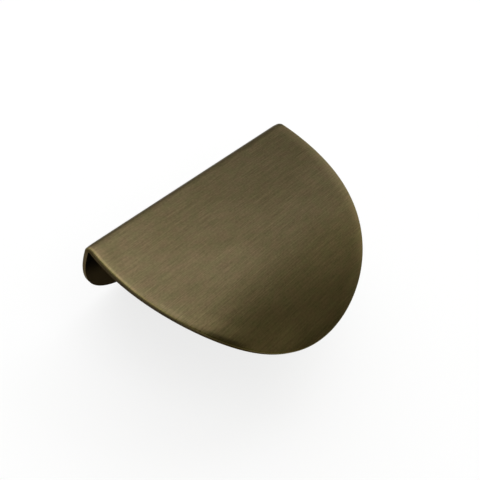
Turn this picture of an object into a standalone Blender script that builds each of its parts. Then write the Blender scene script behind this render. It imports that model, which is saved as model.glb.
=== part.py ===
"""Cabinet edge pull: one round blank of sheet metal, folded along a chord and bowed to a finger lip.

Metres, +Z up, and the fold runs along X. The leg hangs behind the door, with its front side on
Y = 0 against the door's back. The grip goes forward, to -Y, over the door's top edge and bows
down into the lip. The origin is on the leg's front side, midway between its two screw holes.
"""

import math

import bmesh
import bpy

# Blank
BLANK_RADIUS = 0.038
SHEET = 0.0012
EDGE_ROUND = 0.0003  # radius of the rubbed edge on the brushed side
ROLL_WIDTH = 0.003  # the brushed side also falls away a little over this width, just inside it
ROLL_TURN = math.radians(6)  # its slope where the round starts
BACK_BREAK = 0.0001  # width of the break on the other side's edge

# Fold
FOLD_OFF_CENTRE = 0.0082  # from the blank's centre to the middle of the fold, before bending
FOLD_INSIDE = 0.0007
FOLD_ANGLE = math.radians(90)

# Grip, along the middle of the sheet from the end of the fold
FLAT_RUN = 0.008
EASE_RUN = 0.030  # over this length the bow tightens evenly
LIP_RADIUS = 0.036

# Screw holes
HOLE_SPACING = 0.032
HOLE_DROP = 0.013  # down the leg, from the fold to the holes' axes
HOLE_RADIUS = 0.0021
SINK_LAND = 0.0003  # straight wall left in front of the countersink
SINK_ANGLE = math.radians(90)

# Facets
RIM_STEP = math.radians(2.25)
FOLD_STEPS = 12
ROUND_STEPS = 3
ROLL_STEPS = 3
HOLE_SIDES = 48
SLICE = 0.0001  # step of the sum that gives the sheet's path

FOLD_RADIUS = FOLD_INSIDE + SHEET / 2
FOLD_LENGTH = FOLD_RADIUS * FOLD_ANGLE
FOLD_START = -FOLD_OFF_CENTRE - FOLD_LENGTH / 2  # these three lie on the flat blank, from its centre
FOLD_END = FOLD_START + FOLD_LENGTH
BOW_START = FOLD_END + FLAT_RUN


def clear_scene():
    for thing in list(bpy.data.objects):
        bpy.data.objects.remove(thing)


def heading(place):
    """Turn of the sheet at a place on the blank: none on the leg, then the fold's, then the bow's."""
    folded = min(max(place - FOLD_START, 0.0), FOLD_LENGTH) / FOLD_RADIUS
    past = max(place - BOW_START, 0.0)
    eased = min(past, EASE_RUN)
    bowed = eased * eased / (2 * EASE_RUN) + (past - eased)
    return folded + bowed / LIP_RADIUS


def step_on(point, place, length):
    """The next point of the sheet's middle, in Y and Z, this length past one at a place."""
    turn = heading(place + length / 2)
    return (point[0] - length * math.sin(turn), point[1] + length * math.cos(turn))


def sheet_path():
    """Points of the sheet's middle, a slice apart, from the start of the fold to the lip."""
    points = [(SHEET / 2, HOLE_DROP)]
    for i in range(math.ceil((BLANK_RADIUS - FOLD_START) / SLICE)):
        points.append(step_on(points[-1], FOLD_START + SLICE * i, SLICE))
    return points


def bent(across, place, height, path):
    """Where a point of the flat blank goes: height is over the sheet's middle, brushed side up."""
    past = place - FOLD_START
    row = int(max(past, 0.0) / SLICE)
    middle = step_on(path[row], FOLD_START + SLICE * row, past - SLICE * row)
    turn = heading(place)
    return (across, middle[0] + height * math.cos(turn), middle[1] + height * math.sin(turn))


def rim_section():
    """Inset from the rim and height over the sheet's middle, from the brushed side down."""
    half = SHEET / 2
    drop = ROLL_TURN * ROLL_WIDTH / 3
    roll_end = EDGE_ROUND * (1 - math.sin(ROLL_TURN))
    centre = half - drop - EDGE_ROUND * math.cos(ROLL_TURN)
    section = []
    for step in range(ROLL_STEPS):
        done = step / ROLL_STEPS
        section.append((roll_end + ROLL_WIDTH * (1 - done), half - drop * done**3))
    for step in range(ROUND_STEPS + 1):
        turn = ROLL_TURN + (math.pi / 2 - ROLL_TURN) * step / ROUND_STEPS
        section.append((EDGE_ROUND * (1 - math.sin(turn)), centre + EDGE_ROUND * math.cos(turn)))
    section.append((0.0, BACK_BREAK - half))
    section.append((BACK_BREAK, -half))
    return section


def corner_angles(radius):
    """Where a ring of this radius meets the ends of the leg, fold, flat and bow."""
    limits = (-radius, FOLD_START, FOLD_END, BOW_START, radius)
    return [math.asin(limit / radius) for limit in limits]


def zone_steps():
    """Facets along one side of the leg, fold, flat and bow."""
    corners = corner_angles(BLANK_RADIUS)
    steps = [math.ceil((high - low) / RIM_STEP) for low, high in zip(corners, corners[1:])]
    steps[1] = FOLD_STEPS
    return steps


def ring_angles(radius, steps):
    """Angles round a ring: up its right half from the leg to the lip, and down its left half."""
    corners = corner_angles(radius)
    right = [corners[0]]
    for count, low, high in zip(steps, corners, corners[1:]):
        right += [low + (high - low) * (i + 1) / count for i in range(count)]
    return right + [math.pi - angle for angle in reversed(right[1:-1])]


def add_side(mesh, ring, steps):
    """Spans a side: one face each on the leg and the flat, narrow strips on the fold and the bow."""
    leg, fold, flat, bow = steps
    bow_line = leg + fold + flat
    lines = [0, *range(leg, leg + fold + 1), *range(bow_line, bow_line + bow + 1)]
    for start, end in zip(lines, lines[1:]):
        right = ring[start : end + 1]
        left = [ring[-i] for i in range(end, start - 1, -1)]
        mesh.faces.new(right + [vert for vert in left if vert not in right])


def bent_plate():
    """Rings of points round the blank's rim, each point bent to its place, and both sides."""
    steps = zone_steps()
    path = sheet_path()
    mesh = bmesh.new()
    rings = []
    for inset, height in rim_section():
        radius = BLANK_RADIUS - inset
        ring = []
        for angle in ring_angles(radius, steps):
            spot = bent(radius * math.cos(angle), radius * math.sin(angle), height, path)
            ring.append(mesh.verts.new(spot))
        rings.append(ring)
    for upper, lower in zip(rings, rings[1:]):
        for i in range(len(upper)):
            mesh.faces.new((upper[i - 1], upper[i], lower[i], lower[i - 1]))
    add_side(mesh, rings[0], steps)
    add_side(mesh, rings[-1], steps)
    bmesh.ops.recalc_face_normals(mesh, faces=mesh.faces)
    return mesh


def screw_cutter(name, across):
    """A turned cutter for one hole: a straight bore that flares towards the leg's back."""
    slope = math.tan(SINK_ANGLE / 2)
    deep = 2 * SHEET
    profile = [
        (HOLE_RADIUS, -SHEET),
        (HOLE_RADIUS, SINK_LAND),
        (HOLE_RADIUS + (deep - SINK_LAND) * slope, deep),
    ]
    mesh = bmesh.new()
    rings = []
    for radius, height in profile:
        ring = []
        for i in range(HOLE_SIDES):
            turn = 2 * math.pi * i / HOLE_SIDES
            ring.append(mesh.verts.new((radius * math.cos(turn), height, radius * math.sin(turn))))
        rings.append(ring)
    for near, far in zip(rings, rings[1:]):
        for i in range(HOLE_SIDES):
            mesh.faces.new((near[i - 1], near[i], far[i], far[i - 1]))
    mesh.faces.new(rings[0])
    mesh.faces.new(rings[-1])
    bmesh.ops.recalc_face_normals(mesh, faces=mesh.faces)
    cutter = object_from(mesh, name)
    cutter.location = (across, 0.0, 0.0)
    cutter.hide_render = True
    cutter.display_type = "WIRE"
    return cutter


def object_from(mesh, name):
    data = bpy.data.meshes.new(name)
    mesh.to_mesh(data)
    mesh.free()
    thing = bpy.data.objects.new(name, data)
    bpy.context.scene.collection.objects.link(thing)
    return thing


def aged_brass():
    material = bpy.data.materials.new("aged_brass")
    material.use_nodes = True
    shader = material.node_tree.nodes["Principled BSDF"]
    shader.inputs["Base Color"].default_value = (0.181, 0.138, 0.072, 1.0)
    shader.inputs["Metallic"].default_value = 1.0
    shader.inputs["Roughness"].default_value = 0.34
    return material


def pull_plate():
    plate = object_from(bent_plate(), "pull_plate")
    plate.data.materials.append(aged_brass())
    plate.data.shade_smooth()
    plate.data.set_sharp_from_angle(angle=math.radians(32))
    for label, side in (("left", -1), ("right", 1)):
        cut = plate.modifiers.new("screw_hole_" + label, "BOOLEAN")
        cut.operation = "DIFFERENCE"
        cut.solver = "EXACT"
        cut.object = screw_cutter("screw_cutter_" + label, side * HOLE_SPACING / 2)


clear_scene()
pull_plate()
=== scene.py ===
import math

import bmesh
import bpy
from mathutils import Matrix, Quaternion, Vector


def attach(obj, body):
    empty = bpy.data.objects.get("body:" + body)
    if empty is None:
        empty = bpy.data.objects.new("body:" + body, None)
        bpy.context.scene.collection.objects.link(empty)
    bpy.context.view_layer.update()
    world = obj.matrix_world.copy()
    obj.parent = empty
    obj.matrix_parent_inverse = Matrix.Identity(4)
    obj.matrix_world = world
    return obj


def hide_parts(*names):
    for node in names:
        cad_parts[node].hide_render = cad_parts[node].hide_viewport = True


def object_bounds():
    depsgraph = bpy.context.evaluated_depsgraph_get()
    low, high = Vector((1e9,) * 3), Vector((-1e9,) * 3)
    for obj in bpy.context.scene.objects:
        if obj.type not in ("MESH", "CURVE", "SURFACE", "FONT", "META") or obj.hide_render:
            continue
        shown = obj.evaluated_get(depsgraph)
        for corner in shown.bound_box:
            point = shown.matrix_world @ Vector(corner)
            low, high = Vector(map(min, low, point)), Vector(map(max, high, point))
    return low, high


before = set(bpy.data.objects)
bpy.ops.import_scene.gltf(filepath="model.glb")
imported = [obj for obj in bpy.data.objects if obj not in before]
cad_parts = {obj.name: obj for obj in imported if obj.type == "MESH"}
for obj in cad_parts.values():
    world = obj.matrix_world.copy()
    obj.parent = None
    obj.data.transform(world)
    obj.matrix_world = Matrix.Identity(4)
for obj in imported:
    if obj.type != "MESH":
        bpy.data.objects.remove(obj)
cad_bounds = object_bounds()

# The sheet and its bends, in metres, as in the part's source
BLANK_RADIUS = 0.038
SHEET = 0.0012
EDGE_ROUND = 0.0003
ROLL_WIDTH = 0.003
ROLL_TURN = math.radians(6)
BACK_BREAK = 0.0001
FOLD_OFF_CENTRE = 0.0082
FOLD_INSIDE = 0.0007
FOLD_ANGLE = math.radians(90)
FLAT_RUN = 0.008
EASE_RUN = 0.030
LIP_RADIUS = 0.036
HOLE_SPACING = 0.032
HOLE_DROP = 0.013
HOLE_RADIUS = 0.0021
SINK_LAND = 0.0003
SINK_ANGLE = math.radians(90)

# Facets
RIM_STEP = math.radians(0.75)
FOLD_STEPS = 32
ROUND_STEPS = 6
ROLL_STEPS = 10
WALL_STEPS = 3
HOLE_SIDES = 96
SLICE = 0.0001

HALF = SHEET / 2
ROLL_DROP = ROLL_TURN * ROLL_WIDTH / 3
ROLL_END = EDGE_ROUND * (1 - math.sin(ROLL_TURN))
FOLD_RADIUS = FOLD_INSIDE + HALF
FOLD_LENGTH = FOLD_RADIUS * FOLD_ANGLE
FOLD_START = -FOLD_OFF_CENTRE - FOLD_LENGTH / 2
FOLD_END = FOLD_START + FOLD_LENGTH
BOW_START = FOLD_END + FLAT_RUN
HOLE_PLACE = FOLD_START - HOLE_DROP
HOLE_ZONE = BLANK_RADIUS - 1.2 * ROLL_WIDTH  # any edge nearer the middle is a screw hole's

# The height of a flat blank's face normal, up or down, tells what kind of face it is
LEVEL = 0.9999  # past this, one of the two flat sides
SLOPED = 0.3  # past this, a countersink, or downwards the break on the inner side's edge
ROUNDED = 0.08  # past this, the brushed side's round, and below it the upright edge

# The plate's materials, in the order of its slots
BRUSHED_SLOT, CUT_SLOT, INNER_SLOT, SUNK_SLOT = range(4)

# Marks in the metal: their size on the flat blank, in metres, along the fold, towards the lip and
# through the sheet, then the detail and the roughness of the noise that makes them
MARKS = {
    "brushing": ((0.0060, 0.00018, 1), 2.0, 0.5),
    "bands": ((0.018, 0.0007, 1), 2.0, 0.5),
    "scratches": ((0.022, 0.00022, 1), 1.0, 0.5),
    "specks": ((0.0007, 0.00040, 1), 1.0, 0.5),
    "clouds": ((0.013, 0.008, 1), 1.5, 0.5),
    "mottling": ((0.0035, 0.0018, 1), 2.0, 0.5),
    "shear_marks": ((0.0003, 0.0003, 0.004), 3.0, 0.6),
    "edge_clouds": ((0.005, 0.005, 0.005), 4.0, 0.6),
    "inner_brushing": ((0.005, 0.0002, 1), 3.0, 0.6),
    "inner_clouds": ((0.007, 0.005, 1), 3.0, 0.6),
    "turned_rings": ((0.02, 0.02, 0.00008), 2.0, 0.5),
}

# The part of a noise's range that shows: a narrower one gives harder marks, a higher one fewer
WIDE = (0.2, 0.8)
MIDDLE = (0.25, 0.75)
NARROW = (0.3, 0.7)
SPARSE = (0.52, 0.78)

# Brightness of the brushed side: its marks, the range that shows, and what the two ends add
BRUSHED_SHADES = (
    ("brushing", WIDE, (-0.17, 0.17)),
    ("bands", MIDDLE, (-0.06, 0.06)),
    ("scratches", SPARSE, (-0.015, 0.16)),
    ("specks", WIDE, (-0.11, 0.11)),
)
# Brightness of the other finishes at the two ends of their marks
EDGE_SHADES = (0.75, 1.25)
INNER_SHADES = (0.8, 1.2)

# Wear and painted light along the rim, in patches: on the left rim they brighten the round and the
# face near it as painted highlights and painted light (188, 167, 156, 143 and 122 degrees) and
# darken it as painted shade where the bow turns down (140.5), and on the right rim (60 and 8) they
# are rubbed wear
# and painted light. Columns: angle round the blank from +X towards the lip and half its reach, in
# degrees, how far in it is full and gone, in metres, and how much it brightens the metal
RIM_WEAR_AND_PAINTED_LIGHT = (
    (188, 20, 0.00045, 0.00095, 0.47),
    (167, 11, 0.0001, 0.0004, 0.32),
    (156, 13, 0.0010, 0.0022, 0.17),
    (140.5, 10, 0.0005, 0.0014, -0.62),
    (143, 13, 0.0030, 0.0060, 0.22),
    (122, 18, 0.0030, 0.0090, 0.22),
    (60, 22, 0.0020, 0.0045, 0.12),
    (8, 36, 0.0020, 0.0045, 0.26),
)
RUBBED = (0.0003, 0.0009)  # how far in the edge is rubbed bright, and where that ends
RUBBED_UNEVEN = 0.0006  # how much the bands move that
RUBBED_SHARE = 0.4
# The round's darkening near the rim is painted shade, for the dark that its lower half mirrors
LOW_ROUND = 0.00022  # nearer the rim than this the round darkens
LOW_ROUND_PAINTED_SHADE = 0.55  # to this share, at the rim

# Places along the blank, from its centre towards the lip, over which a colour changes
LIP_FADE = (0.012, 0.026)
CUT_FADE = (FOLD_START - 0.002, FOLD_END)
INNER_FADE = (-0.020, -0.008)
INNER_UNEVEN = 0.010  # how much the clouds move the last one

# Colours, and tints that multiply them
BRASS = (0.1185, 0.0925, 0.050, 1)
BRASS_DARKER = (0.1085, 0.085, 0.0445, 1)
WARM_TINT = (1.06, 1.0, 1.05, 1)
COOL_TINT = (0.94, 1.0, 0.95, 1)
# yellower at the lip: a painted tint of the shade there
LIP_PAINTED_SHADE_TINT = (1.0, 0.99, 0.85, 1)
RUBBED_TINT = (1.34, 1.5, 0.8, 1)
CUT = (0.050, 0.039, 0.021, 1)
CUT_DARKER = (0.034, 0.026, 0.014, 1)
# the cut edge's colour on the leg, lighter than along the grip as painted light
CUT_ON_LEG_PAINTED_LIGHT = (0.092, 0.073, 0.052, 1)
# The inner side: a dark patina made near black partly as painted shade, and a lighter brown where
# that painted shade ends at the leg's end
DARK_PATINA_AND_PAINTED_SHADE = (0.024, 0.018, 0.011, 1)
LIGHTER_PATINA_AND_PAINTED_SHADE = (0.034, 0.026, 0.015, 1)
PATINA_PAST_PAINTED_SHADE = (0.190, 0.138, 0.072, 1)
SUNK = (0.12, 0.09, 0.045, 1)

# Shader values of each finish, and the depth of its marks in metres
BRUSHED_FINISH = {
    "Metallic": 1.0,
    "Roughness": 0.29,
    "Anisotropic": 0.35,
    "Specular Tint": (0.5, 0.5, 0.5, 1),
}
CUT_FINISH = {"Metallic": 1.0, "Roughness": 0.45, "Specular Tint": (0.5, 0.45, 0.35, 1)}
INNER_FINISH = {
    "Metallic": 0.7,
    "Roughness": 0.45,
    "Specular IOR Level": 0.0,
    "Specular Tint": (0, 0, 0, 1),
}
SUNK_FINISH = {"Metallic": 1.0, "Roughness": 0.38}
BRUSHED_DEPTH = 0.000005
CUT_DEPTH = 0.00001
INNER_DEPTH = 0.000006
SUNK_DEPTH = 0.00001

# Camera, from the fit to the photograph's outline, in metres and degrees, with the lens and its
# sensor in millimetres
CAMERA_SPOT = Vector((-0.167547, -0.055652, 0.160618))
CAMERA_AIM = (13.32884, -41.29254)  # azimuth from +X towards +Y, and elevation
CAMERA_ROLL = 32.54197  # its right side is turned up by this
CAMERA_LENS = 76.33
CAMERA_SENSOR = 36
CAMERA_CLIP = (0.01, 20)

# Stage
FLOOR_HALF = 6.0
FLOOR_GAP = 0.00002  # below the part, so that the two don't touch
FLOOR_FINISH = {
    "Base Color": (0.22, 0.22, 0.23, 1.0),
    "Roughness": 0.9,
    "Specular IOR Level": 0.1,
}
FLOOR_LIFT = 0.78  # adds to the floor where it is seen, so that it shows as white
WHITE = (1, 1, 1, 1)
ROOM_COLOUR = (0.362, 0.380, 0.335, 1.0)
CURTAIN_COLOUR = (0.160, 0.152, 0.075, 1.0)
CURTAIN_AIM = (-88.6, 39.1)  # azimuth from +X towards +Y, and elevation, in degrees
CURTAIN_EDGE = (57.4, 47.4)  # degrees from its middle at which the dark curtain starts and is full

# Lamps: azimuth, elevation and half their angle across in degrees, and radiance
LAMP_DISTANCE = 2.0
LAMPS = {
    "key_softbox": (11, 55, 14, 1.625),
    "low_softbox": (-5, 14, 22, 1.303),
    "top_softbox": (199, 63, 24, 1.759),
    "back_softbox": (84, 42, 42, 1.125),
    "lip_softbox": (-46, 33, 10, 0.318),
}


def heading(place):
    """Turn of the sheet at a place: none on the leg, then the fold's, then the bow's."""
    folded = min(max(place - FOLD_START, 0.0), FOLD_LENGTH) / FOLD_RADIUS
    past = max(place - BOW_START, 0.0)
    eased = min(past, EASE_RUN)
    bowed = eased * eased / (2 * EASE_RUN) + (past - eased)
    return folded + bowed / LIP_RADIUS


def step_on(point, place, length):
    """The next point of the sheet's middle, in Y and Z, this length past one at a place."""
    turn = heading(place + length / 2)
    return (point[0] - length * math.sin(turn), point[1] + length * math.cos(turn))


def sheet_path():
    """Points of the sheet's middle, a slice apart, from the start of the fold to the lip."""
    points = [(HALF, HOLE_DROP)]
    for i in range(math.ceil((BLANK_RADIUS - FOLD_START) / SLICE)):
        points.append(step_on(points[-1], FOLD_START + SLICE * i, SLICE))
    return points


def bent_spot(spot, path):
    """Where a point of the flat blank goes. X is mirrored, which keeps the faces facing out."""
    past = spot.y - FOLD_START
    row = int(max(past, 0.0) / SLICE)
    middle = step_on(path[row], FOLD_START + SLICE * row, past - SLICE * row)
    sine, cosine = math.sin(heading(spot.y)), math.cos(heading(spot.y))
    return Vector((-spot.x, middle[0] + spot.z * cosine, middle[1] + spot.z * sine))


def bent_normal(normal, place):
    """Where a normal of the flat blank points once the sheet is bent."""
    sine, cosine = math.sin(heading(place)), math.cos(heading(place))
    return Vector(
        (-normal.x, normal.z * cosine - normal.y * sine, normal.y * cosine + normal.z * sine)
    )


def rim_section():
    """Inset from the rim and height over the sheet's middle, from the brushed side down."""
    centre = HALF - ROLL_DROP - EDGE_ROUND * math.cos(ROLL_TURN)
    low = BACK_BREAK - HALF
    section = []
    for step in range(ROLL_STEPS):
        done = step / ROLL_STEPS
        section.append((ROLL_END + ROLL_WIDTH * (1 - done), HALF - ROLL_DROP * done**3))
    for step in range(ROUND_STEPS + 1):
        turn = ROLL_TURN + (math.pi / 2 - ROLL_TURN) * step / ROUND_STEPS
        section.append((EDGE_ROUND * (1 - math.sin(turn)), centre + EDGE_ROUND * math.cos(turn)))
    for step in range(WALL_STEPS):
        section.append((0.0, centre + (low - centre) * (step + 1) / WALL_STEPS))
    section.append((BACK_BREAK, -HALF))
    return section


def corner_angles(radius):
    """Where a ring of this radius meets the ends of the leg, fold, flat and bow."""
    limits = (-radius, FOLD_START, FOLD_END, BOW_START, radius)
    return [math.asin(limit / radius) for limit in limits]


def zone_steps():
    """Facets along one side of the leg, fold, flat and bow."""
    corners = corner_angles(BLANK_RADIUS)
    steps = [math.ceil((high - low) / RIM_STEP) for low, high in zip(corners, corners[1:])]
    steps[1] = FOLD_STEPS
    return steps


def ring_angles(radius, steps):
    """Angles round a ring: up its right half from the leg to the lip, and down its left half."""
    corners = corner_angles(radius)
    right = [corners[0]]
    for count, low, high in zip(steps, corners, corners[1:]):
        right += [low + (high - low) * (i + 1) / count for i in range(count)]
    return right + [math.pi - angle for angle in reversed(right[1:-1])]


def add_ring(mesh, radius, height, angles):
    return [mesh.verts.new((radius * math.cos(a), radius * math.sin(a), height)) for a in angles]


def join_rings(mesh, rings):
    """Walls from each ring to the next."""
    for near, far in zip(rings, rings[1:]):
        for i in range(len(near)):
            mesh.faces.new((near[i - 1], near[i], far[i], far[i - 1]))


def add_side(mesh, ring, steps):
    """Spans a side: one face each on the leg and the flat, narrow strips where it bends."""
    leg, fold, flat, bow = steps
    bow_line = leg + fold + flat
    lines = [0, *range(leg, leg + fold + 1), *range(bow_line, bow_line + bow + 1)]
    for start, end in zip(lines, lines[1:]):
        right = ring[start : end + 1]
        left = [ring[-i] for i in range(end, start - 1, -1)]
        mesh.faces.new(right + [vert for vert in left if vert not in right])


def object_from(mesh, name):
    data = bpy.data.meshes.new(name)
    mesh.to_mesh(data)
    mesh.free()
    thing = bpy.data.objects.new(name, data)
    bpy.context.scene.collection.objects.link(thing)
    return thing


def flat_blank():
    """The blank before bending and punching, with rings of points round its rim."""
    steps = zone_steps()
    mesh = bmesh.new()
    rings = []
    for inset, height in rim_section():
        radius = BLANK_RADIUS - inset
        rings.append(add_ring(mesh, radius, height, ring_angles(radius, steps)))
    join_rings(mesh, rings)
    add_side(mesh, rings[0], steps)
    add_side(mesh, rings[-1], steps)
    bmesh.ops.recalc_face_normals(mesh, faces=mesh.faces)
    return object_from(mesh, "plate_skin")


def hole_cutter(across):
    """A turned cutter for one screw hole: a straight bore that flares towards the brushed side."""
    reach = 2 * SHEET
    flare = (reach - SINK_LAND) * math.tan(SINK_ANGLE / 2)
    profile = [
        (HOLE_RADIUS, -SHEET),
        (HOLE_RADIUS, SINK_LAND - HALF),
        (HOLE_RADIUS + flare, reach - HALF),
    ]
    mesh = bmesh.new()
    angles = [2 * math.pi * i / HOLE_SIDES for i in range(HOLE_SIDES)]
    rings = [add_ring(mesh, radius, height, angles) for radius, height in profile]
    join_rings(mesh, rings)
    mesh.faces.new(rings[0])
    mesh.faces.new(rings[-1])
    bmesh.ops.recalc_face_normals(mesh, faces=mesh.faces)
    cutter = object_from(mesh, "hole_cutter")
    cutter.location = (across, HOLE_PLACE, 0.0)
    return cutter


def punch(plate):
    """Cuts the screw holes for good, so that the mesh can be bent afterwards."""
    cutters = [hole_cutter(side * HOLE_SPACING / 2) for side in (-1, 1)]
    for cutter in cutters:
        cut = plate.modifiers.new("screw_hole", "BOOLEAN")
        cut.operation = "DIFFERENCE"
        cut.solver = "EXACT"
        cut.object = cutter
    graph = bpy.context.evaluated_depsgraph_get()
    punched = bpy.data.meshes.new_from_object(plate.evaluated_get(graph))
    plate.modifiers.clear()
    plate.data = punched
    for cutter in cutters:
        bpy.data.objects.remove(cutter)


def in_hole(spot):
    """Whether a corner or a wall of the flat blank belongs to a screw hole."""
    return math.hypot(spot.x, spot.y) < HOLE_ZONE


def edge_turn(inset):
    """Tilt of the brushed side this far inside the rim: it rolls off, then rounds over."""
    if inset < ROLL_END:
        return math.asin(min(1 - inset / EDGE_ROUND, 1.0))
    return ROLL_TURN * max(1 - (inset - ROLL_END) / ROLL_WIDTH, 0.0) ** 2


def hole_normal(side, spot):
    """The true normal in a screw hole: towards its axis, and half upwards on the countersink."""
    axis = math.copysign(HOLE_SPACING / 2, spot.x)
    inward = Vector((axis - spot.x, HOLE_PLACE - spot.y, 0)).normalized()
    return (inward + Vector((0, 0, 1))).normalized() if side.z > SLOPED else inward


def flat_normal(side, spot):
    """The true normal at a corner of the flat blank, from the face's own and the corner's spot."""
    if in_hole(spot):
        return side if abs(side.z) > LEVEL else hole_normal(side, spot)
    up = Vector((0, 0, 1))
    outward = Vector((spot.x, spot.y, 0)).normalized()
    if side.z < -LEVEL:
        return -up
    if side.z < -SLOPED:
        return (outward - up).normalized()
    if side.z < ROUNDED:
        return outward
    turn = edge_turn(BLANK_RADIUS - math.hypot(spot.x, spot.y))
    return outward * math.sin(turn) + up * math.cos(turn)


def finish_of(side, middle):
    """Which of the plate's materials a face of the flat blank has."""
    if abs(side.z) < LEVEL and in_hole(middle):
        return SUNK_SLOT
    if side.z > ROUNDED:
        return BRUSHED_SLOT
    return INNER_SLOT if side.z < -SLOPED else CUT_SLOT


def plate_skin():
    """The plate with finer facets: punched flat, given its coordinates on the blank, then bent."""
    plate = flat_blank()
    punch(plate)
    data = plate.data
    for material in (brushed_brass(), cut_edge(), inner_side(), sunk_brass()):
        data.materials.append(material)
    sheet = data.attributes.new("sheet", "FLOAT_VECTOR", "POINT")
    grain = data.uv_layers.new(name="grain")
    normals = [None] * len(data.loops)
    for face in data.polygons:
        face.use_smooth = True
        face.material_index = finish_of(face.normal, face.center)
        for loop in face.loop_indices:
            spot = data.vertices[data.loops[loop].vertex_index].co
            grain.uv[loop].vector = (spot.y / BLANK_RADIUS, spot.x / BLANK_RADIUS)
            normals[loop] = bent_normal(flat_normal(face.normal, spot), spot.y)
    path = sheet_path()
    for vertex in data.vertices:
        sheet.data[vertex.index].vector = vertex.co
        vertex.co = bent_spot(vertex.co, path)
    data.normals_split_custom_set(normals)
    return plate


def node(tree, kind, inputs=None, **settings):
    """Adds a node. An input given a socket is linked to it, and any other is set."""
    made = tree.nodes.new("ShaderNode" + kind)
    for name, value in settings.items():
        setattr(made, name, value)
    for name, value in (inputs or {}).items():
        if isinstance(value, bpy.types.NodeSocket):
            tree.links.new(value, made.inputs[name])
        else:
            made.inputs[name].default_value = value
    return made


def maths(tree, operation, *values):
    return node(tree, "Math", dict(enumerate(values)), operation=operation).outputs[0]


def vector_maths(tree, operation, *values, output="Vector"):
    made = node(tree, "VectorMath", dict(enumerate(values)), operation=operation)
    return made.outputs[output]


def spread(tree, value, low, high, out_low=0.0, out_high=1.0):
    """Maps a value from one range to another, held at its ends and eased between them."""
    ranges = {
        "Value": value,
        "From Min": low,
        "From Max": high,
        "To Min": out_low,
        "To Max": out_high,
    }
    return node(tree, "MapRange", ranges, interpolation_type="SMOOTHSTEP").outputs[0]


def mixed(tree, share, first, second, blend="MIX"):
    """Mixes two colours. The numbers are the colour inputs' places on the node."""
    inputs = {0: share, 6: first, 7: second}
    return node(tree, "Mix", inputs, data_type="RGBA", blend_type=blend).outputs[2]


def tinted(tree, colour, tint):
    return mixed(tree, 1.0, colour, tint, "MULTIPLY")


def marks(tree, sheet, name):
    """The noise that makes these marks, over the sheet's coordinates on the flat blank."""
    size, detail, roughness = MARKS[name]
    scaled = vector_maths(tree, "MULTIPLY", sheet, [1 / length for length in size])
    settings = {"Vector": scaled, "Scale": 1.0, "Detail": detail, "Roughness": roughness}
    return node(tree, "TexNoise", settings).outputs["Fac"]


def bump(tree, shader, height, depth):
    made = node(tree, "Bump", {"Strength": 1.0, "Distance": depth, "Height": height})
    tree.links.new(made.outputs[0], shader.inputs["Normal"])


def shaded(name, finish):
    """A new material with these values, its nodes and its shader."""
    material = bpy.data.materials.new(name)
    material.use_nodes = True
    shader = material.node_tree.nodes["Principled BSDF"]
    for label, value in finish.items():
        shader.inputs[label].default_value = value
    return material, material.node_tree, shader


def blank_coordinates(tree):
    """Where on the flat blank a point of the plate was."""
    return node(tree, "Attribute", attribute_name="sheet").outputs["Vector"]


def place_along(tree, sheet):
    return node(tree, "SeparateXYZ", {0: sheet}).outputs["Y"]


def rim_distance(tree, sheet):
    """How far inside the blank's rim a point is, in metres."""
    flat = vector_maths(tree, "MULTIPLY", sheet, (1, 1, 0))
    return maths(tree, "SUBTRACT", BLANK_RADIUS, vector_maths(tree, "LENGTH", flat, output="Value"))


def rim_wear_and_painted_light(tree, sheet, rim):
    """How much brighter or darker the wear and the painted light and shade along the rim make the
    metal.
    """
    flat = vector_maths(tree, "MULTIPLY", sheet, (-1, 1, 0))  # unmirrored, as on the bent plate
    way = vector_maths(tree, "NORMALIZE", flat)
    total = 1.0
    for angle, reach, full, gone, gain in RIM_WEAR_AND_PAINTED_LIGHT:
        near = vector_maths(tree, "DOT_PRODUCT", way, aim(angle, 0), output="Value")
        along = spread(tree, near, math.cos(math.radians(reach)), 1.0)
        patch = maths(tree, "MULTIPLY", along, spread(tree, rim, full, gone, gain, 0.0))
        total = maths(tree, "ADD", patch, total)
    return total


def brushed_tint(tree, sheet):
    """Two browns in clouds, mottled warmer and cooler, and yellower at the lip, a painted tint of
    its shade.
    """
    clouds = spread(tree, marks(tree, sheet, "clouds"), *NARROW)
    mottling = spread(tree, marks(tree, sheet, "mottling"), *MIDDLE)
    tint = mixed(tree, clouds, BRASS, BRASS_DARKER)
    tint = tinted(tree, tint, mixed(tree, mottling, WARM_TINT, COOL_TINT))
    # painted shade tint over the lip
    lip = spread(tree, place_along(tree, sheet), *LIP_FADE)
    return mixed(tree, lip, tint, tinted(tree, tint, LIP_PAINTED_SHADE_TINT))


def brushed_shade(tree, grain, wear_and_painted_light, rim):
    """Brightness from the marks, the rim's wear and painted light, and painted shade low on the
    edge's round.
    """
    shade = 1.0
    for name, shown, change in BRUSHED_SHADES:
        shade = maths(tree, "ADD", spread(tree, grain[name], *shown, *change), shade)
    # painted shade on the lower part of the edge's round
    low_round_painted_shade = spread(tree, rim, 0.0, LOW_ROUND, LOW_ROUND_PAINTED_SHADE, 1.0)
    return maths(tree, "MULTIPLY", maths(tree, "MULTIPLY", shade, wear_and_painted_light), low_round_painted_shade)


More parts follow.
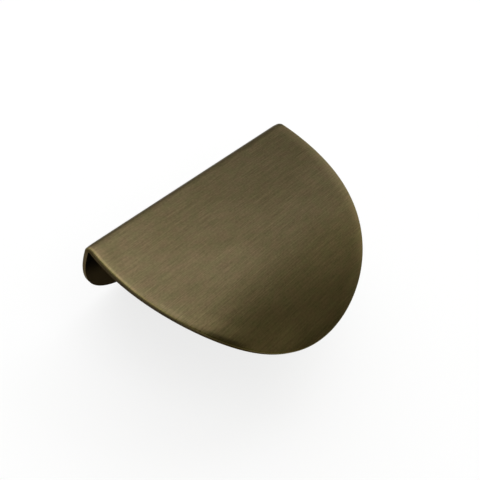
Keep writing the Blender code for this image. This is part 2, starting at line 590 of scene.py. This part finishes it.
def brushed_brass():
    """Dark aged brass, brushed along the fold, with uneven patina and a rubbed edge."""
    material, tree, shader = shaded("brushed_aged_brass", BRUSHED_FINISH)
    sheet = blank_coordinates(tree)
    rim = rim_distance(tree, sheet)
    grain = {name: marks(tree, sheet, name) for name, *_ in BRUSHED_SHADES}
    shade = brushed_shade(tree, grain, rim_wear_and_painted_light(tree, sheet, rim), rim)
    streaked = tinted(tree, brushed_tint(tree, sheet), shade)
    uneven = maths(tree, "ADD", rim, maths(tree, "MULTIPLY", grain["bands"], RUBBED_UNEVEN))
    rubbed = spread(tree, uneven, *RUBBED, RUBBED_SHARE, 0.0)
    colour = mixed(tree, rubbed, streaked, tinted(tree, streaked, RUBBED_TINT))
    tree.links.new(colour, shader.inputs["Base Color"])
    tangent = node(tree, "Tangent", direction_type="UV_MAP", uv_map="grain")
    tree.links.new(tangent.outputs[0], shader.inputs["Tangent"])
    bump(tree, shader, maths(tree, "ADD", grain["brushing"], grain["bands"]), BRUSHED_DEPTH)
    return material


def cut_edge():
    """The sheared edge: duller than the brushed side, with fine marks across the sheet, lighter on
    the leg as painted light.
    """
    material, tree, shader = shaded("cut_edge_brass", CUT_FINISH)
    sheet = blank_coordinates(tree)
    shear = marks(tree, sheet, "shear_marks")
    clouds = spread(tree, marks(tree, sheet, "edge_clouds"), *NARROW)
    # painted light: the cut edge lighter on the leg than along the grip
    leg = spread(tree, place_along(tree, sheet), *CUT_FADE, 1.0, 0.0)
    tint = mixed(tree, leg, mixed(tree, clouds, CUT, CUT_DARKER), CUT_ON_LEG_PAINTED_LIGHT)
    colour = tinted(tree, tint, spread(tree, shear, *WIDE, *EDGE_SHADES))
    tree.links.new(colour, shader.inputs["Base Color"])
    bump(tree, shader, shear, CUT_DEPTH)
    return material


def inner_side():
    """The side towards the door: a dark patina over the brushing, deepened by painted shade that
    lightens towards the leg's end.
    """
    material, tree, shader = shaded("dark_patina_and_painted_shade", INNER_FINISH)
    sheet = blank_coordinates(tree)
    brushing = marks(tree, sheet, "inner_brushing")
    clouds = marks(tree, sheet, "inner_clouds")
    uneven = maths(tree, "MULTIPLY", clouds, INNER_UNEVEN)
    uneven = maths(tree, "ADD", place_along(tree, sheet), uneven)
    # painted shade: darkest towards the fold under the grip, lighter towards the leg's end
    past_painted_shade = spread(tree, uneven, *INNER_FADE, 1.0, 0.0)
    dark = mixed(tree, spread(tree, clouds, *NARROW), DARK_PATINA_AND_PAINTED_SHADE, LIGHTER_PATINA_AND_PAINTED_SHADE)
    tint = mixed(tree, past_painted_shade, dark, PATINA_PAST_PAINTED_SHADE)
    colour = tinted(tree, tint, spread(tree, brushing, *WIDE, *INNER_SHADES))
    tree.links.new(colour, shader.inputs["Base Color"])
    bump(tree, shader, brushing, INNER_DEPTH)
    return material


def sunk_brass():
    """The screw holes' walls, with the countersink's turned rings."""
    material, tree, shader = shaded("sunk_brass", SUNK_FINISH)
    rings = marks(tree, blank_coordinates(tree), "turned_rings")
    colour = tinted(tree, SUNK, spread(tree, rings, *WIDE, *EDGE_SHADES))
    tree.links.new(colour, shader.inputs["Base Color"])
    bump(tree, shader, rings, SUNK_DEPTH)
    return material


def pale_floor():
    """Shows as white where it is seen or mirrored, and throws only its own colour on the part."""
    material, tree, shader = shaded("pale_floor", FLOOR_FINISH)
    path = node(tree, "LightPath").outputs
    seen = maths(tree, "MAXIMUM", path["Is Camera Ray"], path["Is Glossy Ray"])
    seen = maths(tree, "MAXIMUM", seen, path["Is Transmission Ray"])
    strength = maths(tree, "MULTIPLY", seen, FLOOR_LIFT)
    lift = node(tree, "Emission", {"Color": WHITE, "Strength": strength})
    both = node(tree, "AddShader", {0: shader.outputs[0], 1: lift.outputs[0]})
    tree.links.new(both.outputs[0], tree.nodes["Material Output"].inputs["Surface"])
    return material


def stage_floor():
    low = cad_bounds[0].z - FLOOR_GAP
    mesh = bmesh.new()
    corners = ((-1, -1), (1, -1), (1, 1), (-1, 1))
    spots = [(x * FLOOR_HALF, y * FLOOR_HALF, low) for x, y in corners]
    mesh.faces.new([mesh.verts.new(spot) for spot in spots])
    floor = object_from(mesh, "floor")
    floor.data.materials.append(pale_floor())


def aim(azimuth, elevation):
    """The way that these angles point, in degrees from +X towards +Y and up."""
    a, e = math.radians(azimuth), math.radians(elevation)
    return Vector((math.cos(a) * math.cos(e), math.sin(a) * math.cos(e), math.sin(e)))


def room_light():
    """A dim room with a dark curtain on the lip's side."""
    world = bpy.data.worlds.new("room")
    bpy.context.scene.world = world
    world.use_nodes = True
    tree = world.node_tree
    way = node(tree, "TexCoord").outputs["Generated"]
    near = vector_maths(tree, "DOT_PRODUCT", way, aim(*CURTAIN_AIM), output="Value")
    start, full = (math.cos(math.radians(angle)) for angle in CURTAIN_EDGE)
    colour = mixed(tree, spread(tree, near, start, full), ROOM_COLOUR, CURTAIN_COLOUR)
    tree.links.new(colour, tree.nodes["Background"].inputs["Color"])


def place_looking(thing, spot, ahead, roll=0.0):
    """Links a lamp or the camera at a spot, looking ahead, with its right side turned up."""
    turn = (-ahead).to_track_quat("Z", "Y") @ Quaternion((0, 0, 1), math.radians(roll))
    thing.matrix_world = Matrix.LocRotScale(spot, turn, None)
    bpy.context.scene.collection.objects.link(thing)


def add_lamp(name, azimuth, elevation, reach, radiance):
    data = bpy.data.lights.new(name, "AREA")
    radius = LAMP_DISTANCE * math.tan(math.radians(reach))
    data.shape = "DISK"
    data.size = 2 * radius
    data.energy = radiance * math.pi * math.pi * radius * radius
    back = aim(azimuth, elevation)
    place_looking(bpy.data.objects.new(name, data), back * LAMP_DISTANCE, -back)


def add_camera():
    data = bpy.data.cameras.new("camera")
    data.sensor_width = CAMERA_SENSOR
    data.lens = CAMERA_LENS
    data.clip_start, data.clip_end = CAMERA_CLIP
    camera = bpy.data.objects.new("camera", data)
    place_looking(camera, CAMERA_SPOT, aim(*CAMERA_AIM), CAMERA_ROLL)
    bpy.context.scene.camera = camera


def main():
    bpy.context.scene.view_settings.view_transform = "Standard"
    plate = plate_skin()
    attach(plate, "root")
    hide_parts("pull_plate")
    stage_floor()
    room_light()
    for name, settings in LAMPS.items():
        add_lamp(name, *settings)
    add_camera()


main()
